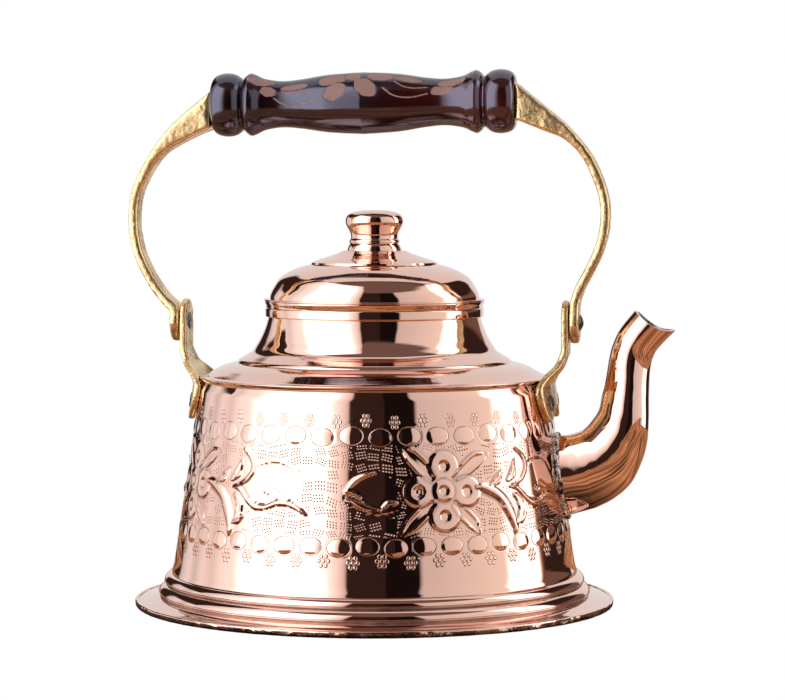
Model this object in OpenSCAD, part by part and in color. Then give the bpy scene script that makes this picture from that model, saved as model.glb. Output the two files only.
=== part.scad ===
// Copper pot with a swan-neck spout, a lift-off lid and a swinging bail handle.
// Millimetres, +Z up, +X towards the spout. The origin is the centre of the base's underside.

/* [Pot] */
// Diameter of the base rim
base_d = 180; // [172:1:186]
// Diameter of the wall where it leaves the foot beads
foot_d = 151.4; // [149:0.2:153]
// Height of the wall's foot
foot_z = 13; // [12:0.5:14]
// Height of the wall's top edge
wall_top = 84; // [82:0.5:86]
// How far the wall leans inwards for each millimetre of height
wall_lean = 0.15; // [0.13:0.01:0.16]
// Thickness of the copper sheet
sheet = 1.1; // [0.9:0.1:1.2]
// Diameter of the neck just under the mouth
neck_d = 79.6; // [78:0.2:80]
// Height of the mouth, where the lid rests
mouth_z = 113.8; // [113:0.2:115]
// Width of the band around the mouth
band_h = 5.8; // [4:0.2:7]

/* [Spout] */
// Height of the middle of the spout's root
root_z = 48.8; // [46:0.2:52]
// Height of the spout's root opening
root_h = 29.6; // [26:0.2:31]
// Width of the spout's root
root_w = 19; // [17:0.5:21]
// Diameter of each hole in the strainer behind the spout
strainer_d = 3.4; // [2.5:0.1:3.6]

/* [Lid] */
// Diameter of the lid's brim
lid_d = 82.8; // [82.2:0.2:84]
// Depth of the ring that centres the lid in the neck
skirt_depth = 8.8; // [6:0.2:10]
// Height of the knob's top above the base
knob_top = 147.8; // [146:0.2:150]
// Largest diameter of the knob
knob_d = 22.8; // [20:0.2:24]

/* [Bail] */
// Height of the handle's pivots
pivot_z = 106; // [105:0.5:107]
// Diameter of the pivot rivets
pivot_d = 5; // [4:0.1:5.4]
// Running clearance of a pivot rivet in its arm, on the radius
pivot_gap = 0.06; // [0.03:0.01:0.1]
// Length of the wooden grip
grip_len = 114.4; // [110:0.2:116]
// Largest diameter of the grip
grip_d = 23.8; // [22:0.2:25]
// Thickness of the cast arms
arm_t = 3.6; // [3:0.1:4]

/* [Hidden] */

$fn = 96;
copper = "#d99a83";
brass = "#c39a55";
tin = "#b9b4ae";
steel = "#8d9093";
wood = "#4a1712";

gap = 0.05;            // clearance between pieces that are soldered or riveted together
base_r = base_d / 2;
foot_r = foot_d / 2;
plate_t = 1.2;         // thickness of the base plate
neck_r = neck_d / 2;
lid_r = lid_d / 2;
band_t = 1.15;         // thickness of the mouth band

root_rx = root_h / 2;
root_ry = root_w / 2;

plate_in = 70.7;       // inner face of a lug's upright plate, from the axis
lug_t = 2.6;           // thickness of a lug
plate_out = plate_in + lug_t;
leaf_rivet_z = 76.5;   // height of the rivets through a lug's leaf
leaf_rivet_a = 10;     // their angle on each side of the lug
leaf_rivet_r = 2;
lean_angle = atan(wall_lean);

arm_gap = 0.3;         // running clearance between a lug and its arm
arm_in = plate_out + arm_gap;
arm_mid = arm_in + arm_t / 2;
grip_left = [-61.2, 187.2];
grip_tilt = asin(1.1 / grip_len);
grip_right = grip_left + grip_len * [cos(grip_tilt), sin(grip_tilt)];
rod_r = 2.5;
rod_in_arm = 2.5;      // how far the rod runs into each arm

// Outside and inside radius of the wall at a height
function wall_r(z) = foot_r - wall_lean * (z - foot_z);
function wall_in(z) = wall_r(z) - sheet;

// Points on an arc from angle a to angle b
function arc(c, r, a, b, n = 8) = [for (i = [0:n]) let (t = a + (b - a) * i / n)
    c + r * [cos(t), sin(t)]];

// One point of a smooth curve between p1 and p2
function curve_point(p0, p1, p2, p3, t) =
    0.5 * (2 * p1 + (p2 - p0) * t + (2 * p0 - 5 * p1 + 4 * p2 - p3) * t * t
        + (3 * p1 - p0 - 3 * p2 + p3) * t * t * t);

// A smooth open curve through the points of p, with n steps between two points
function curve(p, n = 4) = let (m = len(p) - 1) concat(
    [for (i = [0:m - 1]) for (k = [0:n - 1])
        curve_point(p[max(i - 1, 0)], p[i], p[i + 1], p[min(i + 2, m)], k / n)],
    [p[m]]);

function unit(v) = v / norm(v);
function side(p, i) = let (d = unit(p[min(i + 1, len(p) - 1)] - p[max(i - 1, 0)])) [-d[1], d[0]];
function shifted(p, t) = [for (i = [0:len(p) - 1]) p[i] + t * side(p, i)];
function reversed(p) = [for (i = [len(p) - 1:-1:0]) p[i]];

// Outline of a sheet of thickness t that follows p and lies on its left
function sheet_outline(p, t) = concat(p, reversed(shifted(p, t)));

module turned(points) rotate_extrude() polygon(points);

// Puts its children, modelled along +Z, on the +X side's pivot axis, starting at x
module along_x(x, y = 0, z = 0) translate([x, y, z]) rotate([0, 90, 0]) children();

// Puts its children on the wall's surface with +Z pointing out of it
module on_wall(z, a) rotate([0, 0, a]) translate([wall_r(z), 0, z])
    rotate([0, 90 - lean_angle, 0]) children();

module both_leaf_rivets() for (s = [-1, 1]) on_wall(leaf_rivet_z, s * leaf_rivet_a) children();

// ---------------------------------------------------------------- pot

module wall_profile() {
    low = plate_t + gap;
    polygon([[wall_r(low), low], [wall_r(wall_top), wall_top], [wall_in(wall_top), wall_top],
        [wall_in(low), low]]);
}

// The flange and the two beads round the wall's foot, one spun sheet
module foot_profile() {
    flange = [[base_r - 1.4, plate_t + 0.9], [base_r - 4, 3], [82.4, 4.1]];
    low_bead = arc([79.5, 5.8], 1.5, -70, 75);
    high_bead = arc([77.3, 9.3], 1.6, -55, 70);
    lip = [[wall_r(11.6) + 0.9, 11.4], [wall_r(foot_z) + gap + 0.15, foot_z]];
    inside = [[wall_r(foot_z) + gap, foot_z], [wall_r(10.4) + gap, 10.4], [77.9, 6.5],
        [80.2, 3.6], [83, plate_t + gap], [base_r - 1.4, plate_t + gap]];
    polygon(concat(flange, low_bead, high_bead, lip, inside));
}

module strainer_holes() {
    pitch = 5;
    for (row = [-2:2]) for (col = [-1:1]) if (abs(row) < 2 || col == 0)
        along_x(foot_r - 20, col * pitch, root_z + row * pitch)
            cylinder(h = 25, d = strainer_d, $fn = 32);
}

module leaf_rivet_bores() both_leaf_rivets() translate([0, 0, -4])
    cylinder(h = 12, r = leaf_rivet_r + gap, $fn = 32);

module body_wall() color(copper) difference() {
    rotate_extrude() wall_profile();
    strainer_holes();
    leaf_rivet_bores();
    rotate([0, 0, 180]) leaf_rivet_bores();
}

module foot_ring() color(copper) rotate_extrude() foot_profile();

module base_plate() color(copper) turned(concat(
    [[0, 0]], arc([base_r - 0.9, 0.9], 0.9, -90, 0, 5), arc([base_r - 0.6, 1.9], 0.6, 0, 180, 6),
    [[base_r - 1.2, plate_t], [0, plate_t]]));

module shoulder() color(copper) {
    ledge_z = wall_top + gap;
    rim = arc([wall_r(wall_top) - 0.2, ledge_z + 0.75], 0.75, -90, 90, 6);
    slope = curve([[63.7, 86], [60.7, 87.7], [57.9, 89.2], [54, 90.5], [51.5, 90.9]], 2);
    neck = curve([[51, 91.9], [48.2, 93.6], [45.8, 95.2], [44.2, 97.6], [42.7, 100.2], [41, 104],
        [neck_r, 108]], 2);
    outside = concat(slope, neck, [[neck_r, mouth_z]]);
    inside = [for (p = reversed(shifted(outside, sheet))) if (p[1] > ledge_z) p];
    turned(concat(rim, outside, [[neck_r - sheet, mouth_z]],
        [for (i = [1:len(inside) - 1]) inside[i]], [[61, ledge_z]]));
}

module mouth_band() color(copper) {
    low = mouth_z - band_h;
    out = neck_r + gap + band_t;
    turned(concat([[neck_r + gap, low]], arc([out - 0.4, low + 0.4], 0.4, -90, 0, 4),
        arc([out - 0.3, mouth_z - 0.3], 0.3, 0, 90, 4), [[neck_r + gap, mouth_z]]));
}

// ---------------------------------------------------------------- spout

// Each station is a point of the lower edge, a point of the upper edge, half the width across,
// how far the sides dip, and how much the lower edge is pinched. The root itself is worked out
// from the wall.
spout_low = [[83.2, 37], [90, 40.6], [96.4, 46.4], [100.4, 54.5], [102.4, 62], [103, 70.5],
    [103, 79.5], [103.4, 88.5], [104.9, 94.6], [108.2, 98.9], [112.7, 103.4]];
spout_high = [[73.6, 64.4], [78.6, 66.3], [82, 70], [84.4, 74], [85.4, 79], [86.4, 83],
    [87.3, 88], [88, 92.6], [89.2, 97.6], [92, 103.8], [97.6, 110.9]];
spout_half = [9.5, 9.4, 9.1, 8.8, 8.6, 8.5, 8.4, 8.3, 8.3, 8.4, 8.2];
spout_dip = [0, 0, 0, 0, 0, 0, 0, 0, 0.4, 1.1, 2.3];
spout_pinch = [0, 0, 0, 0, 0, 0, 0, 0.04, 0.1, 0.18, 0.3];
spout_sides = 24;
spout_steps = 2;
spout_t = 1;           // thickness of the spout's sheet across the flow
spout_slant_t = 1.25;  // and along a slanting cross-section

// A list stretched to the same number of steps as the curves
function eased(v) = [for (p = curve([for (x = v) [x, 0]], spout_steps)) p[0]];

// The spout's root: an ellipse wrapped onto the wall, smaller by t all round
function root_ring(t, lift) = [for (k = [0:spout_sides - 1])
    let (a = 360 * k / spout_sides, z = root_z - (root_rx - t) * cos(a), y = (root_ry - t) * sin(a))
    [sqrt(pow(wall_r(z) + lift, 2) - y * y), y, z]];

function spout_ring(low, high, half, dip, pinch) = [for (k = [0:spout_sides - 1])
    let (a = 360 * k / spout_sides, mid = (low + high) / 2, run = (low - high) / 2,
        p = mid + run * cos(a), down = dip * pow(sin(a), 2))
    [p[0], half * sin(a) * (1 - pinch * cos(a)), p[1] - down]];

function spout_rings(inner) = let (low = curve(spout_low, spout_steps),
        high = curve(spout_high, spout_steps), half = eased(spout_half), dip = eased(spout_dip),
        pinch = eased(spout_pinch)) concat(
    [root_ring(inner ? spout_t : 0, gap)],
    [for (i = [0:len(low) - 1]) let (u = unit(low[i] - high[i]), s = inner ? spout_slant_t : 0)
        spout_ring(low[i] - s * u, high[i] + s * u, half[i] - (inner ? spout_t : 0), dip[i],
            pinch[i])]);

// Triangles between ring a and ring b of n points each, facing outwards when b follows a
function band_faces(a, b, n) = [for (k = [0:n - 1]) let (j = (k + 1) % n)
    each [[a + k, b + k, b + j], [a + k, b + j, a + j]]];

// A closed loop of rings, each of n points, joined end to end
module looped_rings(rings) {
    n = len(rings[0]);
    m = len(rings);
    polyhedron([for (r = rings) each r],
        [for (i = [0:m - 1]) each band_faces(i * n, ((i + 1) % m) * n, n)], convexity = 6);
}

module spout() color(copper)
    looped_rings(concat(spout_rings(false), reversed(spout_rings(true))));

// The solder fillet: a rough bead in the corner between the wall and the spout
module spout_seam() color(tin) {
    seam_w = 2.2;
    seam_h = 2.4;
    first = spout_rings(false);
    up = [for (k = [0:spout_sides - 1]) first[0][k] + seam_h * unit(first[1][k] - first[0][k])];
    away = [for (k = [0:spout_sides - 1]) let (a = 360 * k / spout_sides)
        [0.1 * abs(cos(a)) + 0.05, sin(a), -cos(a)]];
    inner_low = root_ring(-0.15, gap);
    outer_low = root_ring(-seam_w, gap);
    outer_high = [for (k = [0:spout_sides - 1]) outer_low[k] + [0.7, 0, 0]];
    inner_high = [for (k = [0:spout_sides - 1]) up[k] + 0.15 * away[k]];
    looped_rings([outer_low, outer_high, inner_high, inner_low]);
}

// ---------------------------------------------------------------- lugs and rivets

// Half of a lug seen from outside, from the notch between its lobes to the middle of its top
function lug_half() = let (top_r = 7.2, top_z = pivot_z + 8.4 - 7.2) concat(
    curve([[0, 75.4], [4.5, 74.3], [8.5, 72.4], [12.5, 70.3], [15.8, 69.9], [18.6, 72.8],
        [20.6, 77], [20.8, 81], [18.6, 84.6], [13.6, 88.4], [9, 92], [top_r, 97]], 2),
    arc([0, top_z], top_r, 0, 90, 8));

module lug_outline() {
    half = lug_half();
    polygon(concat(half, [for (p = reversed(half)) if (p[0] > 0) [-p[0], p[1]]]));
}

// The cast strip, bent from the upright plate down onto the wall
module lug_strip() {
    leaf_in = 0.12;
    path = concat([[wall_r(68) + leaf_in, 68], [wall_r(83) + leaf_in, 83]],
        curve([[66, 85.6], [67.2, 88], [69.4, 91], [plate_in, 95]], 3));
    rotate_extrude() polygon(sheet_outline(path, -lug_t));
    translate([plate_in, -10, 94]) cube([lug_t, 20, 22]);
}

module lug_shape() difference() {
    intersection() {
        lug_strip();
        translate([40, 0, 0]) rotate([90, 0, 90]) linear_extrude(height = 60) lug_outline();
    }
    leaf_rivet_bores();
    along_x(60, 0, pivot_z) cylinder(h = 20, d = pivot_d + 2 * gap, $fn = 48);
}

// A domed rivet head: radius r, height h, standing on z = 0
module rivet_head(r, h) let (big = (r * r + h * h) / (2 * h), a = asin(r / big))
    turned(concat([[0, 0]], arc([0, h - big], big, 90 - a, 90, 6)));

module leaf_rivets() both_leaf_rivets() {
    out = lug_t + 0.12 + gap;
    back = -sheet - 1.1;
    translate([0, 0, back - 0.6]) cylinder(h = out - back + 0.7, r = leaf_rivet_r, $fn = 32);
    translate([0, 0, out]) rivet_head(3, 1.3);
    translate([0, 0, back]) mirror([0, 0, 1]) rivet_head(3, 0.9);
}

module leaf_washers() both_leaf_rivets() translate([0, 0, -sheet - 1.05]) difference() {
    cylinder(h = 0.8, r = 4.4, $fn = 48);
    translate([0, 0, -1]) cylinder(h = 3, r = leaf_rivet_r + gap, $fn = 32);
}

module pivot_rivet() {
    head_x = plate_in - gap;
    tail_x = arm_in + arm_t + 0.1;
    along_x(head_x - 0.1, 0, pivot_z) cylinder(h = tail_x - head_x + 0.2, d = pivot_d, $fn = 48);
    translate([head_x, 0, pivot_z]) rotate([0, -90, 0]) rivet_head(3.3, 1.7);
    along_x(tail_x, 0, pivot_z) rivet_head(3, 1.2);
}

module lug_right() color(brass) lug_shape();
module lug_left() color(brass) mirror([1, 0, 0]) lug_shape();
module lug_rivets_right() color(tin) leaf_rivets();
module lug_rivets_left() color(tin) mirror([1, 0, 0]) leaf_rivets();
module rivet_washers_right() color(copper) leaf_washers();
module rivet_washers_left() color(copper) mirror([1, 0, 0]) leaf_washers();
module pivot_rivet_right() color(tin) pivot_rivet();
module pivot_rivet_left() color(tin) mirror([1, 0, 0]) pivot_rivet();

// ---------------------------------------------------------------- lid

brim_t = 0.8;          // thickness of the lid's brim
crown_z = 132.6;       // where the knob's foot stands
knob_stud_r = 3;

module lid() color(copper) {
    dome = curve([[39.3, mouth_z + brim_t], [39.1, 116.4], [37.9, 119], [35.6, 122.3],
        [31.7, 124.9], [27, 126.8], [23.9, 127.5]], 3);
    crown = curve([[23.6, 128.2], [20.6, 129.4], [17.4, 130.4], [14, 131.6], [12, crown_z]], 2);
    outside = concat(dome, crown);
    inside = reversed(shifted(outside, sheet));
    turned(concat([[38, mouth_z], [lid_r, mouth_z], [lid_r, mouth_z + brim_t]], outside,
        [[knob_stud_r + gap, crown_z], [knob_stud_r + gap, crown_z - sheet],
            [12, crown_z - sheet]],
        [for (i = [1:len(inside) - 2]) inside[i]]));
}

module lid_skirt() color(copper) {
    out = neck_r - sheet - 0.4;
    top = mouth_z - gap;
    low = mouth_z - skirt_depth;
    turned([[out - 1, low], [out - 0.3, low], [out, low + 0.6], [out, top], [out - 1, top]]);
}

module lid_knob() color(copper) {
    r = knob_d / 2;
    foot_z = crown_z + gap;
    tail_z = crown_z - sheet - 2.2;
    body = curve([[10.1, foot_z + 0.6], [9.5, 134.6], [9.7, 136.6], [10.1, 138.6], [10.9, 141],
        [r, 144], [10.6, 145.6], [8.6, 146.9], [4.6, knob_top - 0.2], [0, knob_top]], 3);
    turned(concat([[0, foot_z - 1], [knob_stud_r, foot_z - 1], [knob_stud_r, foot_z],
        [10.2, foot_z]], body));
    translate([0, 0, tail_z]) cylinder(h = foot_z - tail_z - 0.5, r = knob_stud_r, $fn = 48);
    translate([0, 0, tail_z]) mirror([0, 0, 1]) rivet_head(4.2, 1.5);
}

module knob_washer() color(copper) translate([0, 0, crown_z - sheet - gap - 1.2]) difference() {
    cylinder(h = 1.2, r = 7);
    translate([0, 0, -1]) cylinder(h = 4, r = knob_stud_r + gap, $fn = 48);
}

// ---------------------------------------------------------------- bail

// Middle line of each arm in the plane of the bail, from the eye up to the grip, as [x, z]
arm_left_path = [[-arm_mid, 96], [-arm_mid, 104], [-arm_mid, 109.4], [-arm_mid - 1, 111.4],
    [-78.8, 113.4], [-82, 117.2], [-86, 123.4], [-89.8, 131.6], [-91.7, 141.6], [-90.9, 153],
    [-87, 162.1], [-81, 171], [-73, 177.8], [grip_left[0] - 0.15, 185.4]];
arm_right_path = [[arm_mid, 96], [arm_mid, 107], [arm_mid, 112.4], [arm_mid + 0.9, 116],
    [78, 120.2], [81.2, 126.2], [84.5, 133.6], [86.5, 142], [86.4, 151], [84, 159.4],
    [79.6, 168.2], [72.6, 176], [64, 181.6], [grip_right[0] + 0.15, 188.2]];

// How far along its flare an arm is, from 0 on the bar to 1 at the grip's end
function flare(t) = max(0, (t - 0.8) / 0.2);

module arm_side_view(path) {
    line = curve(path, 4);
    last = len(line) - 1;
    up = sign(path[0][0]);
    half = [for (i = [0:last]) let (f = flare(i / last))
        (arm_t / 2 + (7.05 - arm_t / 2) * pow(f, 1.6))
            * unit(f * [0, 1] - (1 - f) * up * side(line, i))];
    polygon(concat([for (i = [0:last]) line[i] + half[i]],
        reversed([for (i = [0:last]) line[i] - half[i]])));
}

// The arm seen from the end of the grip: a round eye, a narrower bar and a wider top
module arm_end_view() {
    eye_r = 7.8;
    half = concat(arc([0, pivot_z], eye_r, -90, 40, 14),
        curve([[5.2, 115], [4.9, 122], [4.8, 140], [5, 160], [6, 172], [7, 180]], 3), [[7, 197]]);
    polygon(concat(half, [for (p = reversed(half)) if (p[0] > 0) [-p[0], p[1]]]));
}

module arm(path) difference() {
    intersection() {
        translate([0, 12, 0]) rotate([90, 0, 0]) linear_extrude(height = 24) arm_side_view(path);
        translate([-110, 0, 0]) rotate([90, 0, 90]) linear_extrude(height = 220) arm_end_view();
    }
    along_x(-100, 0, pivot_z) cylinder(h = 200, d = pivot_d + 2 * pivot_gap, $fn = 48);
    rod_place() translate([0, 0, -rod_in_arm - gap])
        cylinder(h = grip_len + 2 * (rod_in_arm + gap), r = rod_r + gap, $fn = 48);
}

// Puts its children, modelled along +Z from 0, on the grip's axis from its left end
module rod_place() translate([grip_left[0], 0, grip_left[1]]) rotate([0, 90 - grip_tilt, 0])
    children();

// The turned grip's outline from its left end to its middle, as [distance from the end, radius]
function grip_half() = let (r = grip_d / 2, mid = grip_len / 2) concat(
    [[0, r - 2.2], [0.5, r - 0.7]], curve([[2.2, r - 0.1], [5.4, r], [9, r - 0.3], [10.6, r - 1.2]], 2),
    [[11.2, r - 2.4], [12, r - 2.4]],
    curve([[12.8, r - 1.2], [14.4, r - 0.2], [16.4, r - 0.7], [20, r - 2.3], [26.5, r - 3.2],
        [34, r - 2.6], [44, r - 1.1], [mid, r - 0.3]], 3));

module wood_grip() color(wood) rod_place() {
    half = grip_half();
    whole = concat(half, [for (p = reversed(half)) if (p[0] < grip_len / 2) [grip_len - p[0], p[1]]]);
    bore = rod_r + gap;
    turned(concat([[bore, 0]], [for (p = whole) [p[1], p[0]]], [[bore, grip_len]]));
}

module grip_rod() color(steel) rod_place() translate([0, 0, -rod_in_arm])
    cylinder(h = grip_len + 2 * rod_in_arm, r = rod_r, $fn = 48);

module arm_left() color(brass) arm(arm_left_path);
module arm_right() color(brass) arm(arm_right_path);

body_wall();
foot_ring();
base_plate();
shoulder();
mouth_band();
spout();
spout_seam();
lug_left();
lug_right();
lug_rivets_left();
lug_rivets_right();
rivet_washers_left();
rivet_washers_right();
pivot_rivet_left();
pivot_rivet_right();
lid();
lid_skirt();
lid_knob();
knob_washer();
arm_left();
arm_right();
wood_grip();
grip_rod();
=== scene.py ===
# Copper pot with an embossed wall, a swan-neck spout, a lift-off lid and a swinging bail.
# Shapes are worked in millimetres, +Z up and +X towards the spout, and scaled when a piece is made.
import math

import bmesh
import bpy
import numpy as np
from mathutils import Matrix, Vector, noise


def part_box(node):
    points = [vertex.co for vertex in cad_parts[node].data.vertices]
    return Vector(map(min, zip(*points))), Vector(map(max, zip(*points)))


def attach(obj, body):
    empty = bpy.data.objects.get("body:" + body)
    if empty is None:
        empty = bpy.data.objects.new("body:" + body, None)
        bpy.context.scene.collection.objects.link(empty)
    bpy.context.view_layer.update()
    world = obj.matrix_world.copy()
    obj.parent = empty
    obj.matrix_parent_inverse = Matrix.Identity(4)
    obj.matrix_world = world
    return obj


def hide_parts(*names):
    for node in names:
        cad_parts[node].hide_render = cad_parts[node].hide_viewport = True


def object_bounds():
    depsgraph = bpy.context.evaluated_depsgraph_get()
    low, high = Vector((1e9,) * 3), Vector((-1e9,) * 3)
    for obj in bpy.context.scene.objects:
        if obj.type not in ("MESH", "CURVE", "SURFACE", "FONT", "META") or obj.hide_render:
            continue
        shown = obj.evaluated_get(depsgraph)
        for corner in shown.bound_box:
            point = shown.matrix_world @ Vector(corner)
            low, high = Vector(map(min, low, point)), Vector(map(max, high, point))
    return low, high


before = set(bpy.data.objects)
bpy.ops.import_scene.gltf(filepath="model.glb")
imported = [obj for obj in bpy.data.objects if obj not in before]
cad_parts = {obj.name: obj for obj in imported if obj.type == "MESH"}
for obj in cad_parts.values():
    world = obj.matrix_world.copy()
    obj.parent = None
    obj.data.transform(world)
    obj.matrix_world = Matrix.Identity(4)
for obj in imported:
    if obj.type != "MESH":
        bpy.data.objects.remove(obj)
CAD_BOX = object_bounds()
MM = 0.001


def millimetres(node):
    """Lowest and highest corner of a CAD node, in millimetres."""
    low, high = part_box(node)
    return low / MM, high / MM


# ---------------------------------------------------------------- driving sizes

BASE_R = millimetres("base_plate")[1].x
WALL_LOW = millimetres("body_wall")[0].z
WALL_TOP = millimetres("body_wall")[1].z
FOOT_Z = 13
FOOT_R = 75.7
WALL_LEAN = 0.15
SHEET = 1.1
NECK_R = 39.8
MOUTH_Z = millimetres("mouth_band")[1].z
BAND_LOW = millimetres("mouth_band")[0].z
LID_R = millimetres("lid")[1].x
CROWN_Z = millimetres("lid")[1].z
KNOB_TOP = millimetres("lid_knob")[1].z
PIVOT_Z = 106
LUG_OUT = millimetres("lug_right")[1].x
ARM_IN = LUG_OUT + 0.3


def wall_radius(z):
    """Outside radius of the wall at a height."""
    return FOOT_R - WALL_LEAN * (z - FOOT_Z)


# The embossing: a rosette's angle in degrees, its height and how often it comes round.
MOTIF_TURNS = 4
MOTIF_START = -61
MOTIF_Z = 49
PEARL_R = (4.15, 3.2)
# Rows of pearls and florets: how many, the first one's angle, the two heights.
ROWS = [(41, -62.2, 68.2, 73.6), (45, -59.5, 29.6, 24.6)]
LIFT = 0.35


# ---------------------------------------------------------------- curves

def curve(points, steps):
    """A smooth open curve through the points, with so many steps between two of them."""
    points = [np.array(p, float) for p in points]
    last = len(points) - 1
    out = []
    for i in range(last):
        p0 = points[max(i - 1, 0)]
        p1 = points[i]
        p2 = points[i + 1]
        p3 = points[min(i + 2, last)]
        for k in range(steps):
            t = k / steps
            out.append(0.5 * (2 * p1 + (p2 - p0) * t + (2 * p0 - 5 * p1 + 4 * p2 - p3) * t ** 2
                              + (3 * p1 - p0 - 3 * p2 + p3) * t ** 3))
    out.append(points[last])
    return out


def arc(x, z, radius, start, end, steps=8):
    """Points on an arc round (x, z), with its angles in degrees."""
    angles = [math.radians(start + (end - start) * i / steps) for i in range(steps + 1)]
    return [(x + radius * math.cos(a), z + radius * math.sin(a)) for a in angles]


def shifted(points, distance):
    """The points moved sideways, to the left of the way they run."""
    points = np.array(points, float)
    way = np.gradient(points, axis=0)
    way /= np.linalg.norm(way, axis=1)[:, None]
    return points + distance * np.stack([-way[:, 1], way[:, 0]], axis=1)


def around(count):
    """Angles once round."""
    return np.arange(count) * 2 * math.pi / count


def smooth(x):
    """0 below 0, 1 above 1 and a soft slope between."""
    x = np.clip(x, 0, 1)
    return x * x * (3 - 2 * x)


# ---------------------------------------------------------------- making pieces

def turned(outline, segments, closed=True):
    """An outline of (radius, height) turned once round the pot's axis."""
    outline = np.array([tuple(p) for p in outline], float)
    a = around(segments)
    radius, height = outline[:, :1], outline[:, 1:]
    return woven(np.stack([radius * np.cos(a), radius * np.sin(a), height + 0 * a], axis=2),
                 True, closed)


def woven(places, closed_round, closed_along):
    """A grid laid on an array of places[along, round], welded where it closes on itself."""
    along, around = places.shape[:2]
    nx = around if closed_round else around - 1
    ny = along if closed_along else along - 1
    bm = bmesh.new()
    bmesh.ops.create_grid(bm, x_segments=nx, y_segments=ny, size=1)
    for v in bm.verts:
        i = round((v.co.x + 1) / 2 * nx) % around
        j = round((v.co.y + 1) / 2 * ny) % along
        v.co = places[j, i]
    bmesh.ops.remove_doubles(bm, verts=bm.verts, dist=1e-4)
    bmesh.ops.recalc_face_normals(bm, faces=bm.faces)
    return bm


def merged(parts):
    """Several shapes as one."""
    whole = bmesh.new()
    for part in parts:
        mesh = bpy.data.meshes.new("part")
        part.to_mesh(mesh)
        part.free()
        whole.from_mesh(mesh)
        bpy.data.meshes.remove(mesh)
    return whole


def moved_to(bm, places):
    """The same shape with its vertices at the given places."""
    for v, place in zip(bm.verts, places):
        v.co = place
    return bm


def cast_copy(node, voxel, rounds):
    """A copy of a CAD node remeshed evenly, with its edges softened as in a casting."""
    bm = bmesh.new()
    bm.from_mesh(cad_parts[node].data)
    bmesh.ops.remove_doubles(bm, verts=bm.verts, dist=1e-6)
    bmesh.ops.scale(bm, vec=(1 / MM,) * 3, verts=bm.verts)
    mesh = bpy.data.meshes.new(node + "_rough")
    bm.to_mesh(mesh)
    bm.free()
    rough = bpy.data.objects.new(node + "_rough", mesh)
    bpy.context.scene.collection.objects.link(rough)
    even = rough.modifiers.new("even", "REMESH")
    even.mode = "VOXEL"
    even.voxel_size = voxel
    bm = bmesh.new()
    bm.from_object(rough, bpy.context.evaluated_depsgraph_get())
    bpy.data.objects.remove(rough)
    for _ in range(rounds):
        bmesh.ops.smooth_vert(bm, verts=bm.verts, factor=0.5, use_axis_x=True, use_axis_y=True,
                              use_axis_z=True)
    return bm


def roughened(bm, coarse, fine, coarse_size=5.0, fine_size=1.3):
    """Moves the vertices along their normals by soft noise, as a hammer or a sand mould leaves them."""
    bm.normal_update()
    for v in bm.verts:
        push = coarse * noise.noise(v.co / coarse_size) + fine * noise.noise(v.co / fine_size)
        v.co += push * v.normal


def piece(bm, name, body, materials, nodes=(), lining=None, sharp=40):
    """Makes an object of a shape in millimetres, which rides on a body and stands for CAD nodes.

    Faces for which lining(centre, normal) is true take the second material.
    """
    if lining:
        bm.normal_update()
        for face in bm.faces:
            if lining(face.calc_center_median(), face.normal):
                face.material_index = 1
    bmesh.ops.scale(bm, vec=(MM, MM, MM), verts=bm.verts)
    low, high = CAD_BOX
    for v in bm.verts:
        v.co = [min(max(c, a), b) for c, a, b in zip(v.co, low, high)]
    for face in bm.faces:
        face.smooth = True
    mesh = bpy.data.meshes.new(name)
    bm.to_mesh(mesh)
    bm.free()
    mesh.set_sharp_from_angle(angle=math.radians(sharp))
    for material in materials:
        mesh.materials.append(material)
    obj = bpy.data.objects.new(name, mesh)
    bpy.context.scene.collection.objects.link(obj)
    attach(obj, body)
    if nodes:
        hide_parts(*nodes)
    return obj


def keep_values(obj, name, values):
    """Keeps a value for each vertex, under a name that a finish reads."""
    attribute = obj.data.attributes.new(name, "FLOAT", "POINT")
    attribute.data.foreach_set("value", values.astype(np.float32))


# ---------------------------------------------------------------- material tools

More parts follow.
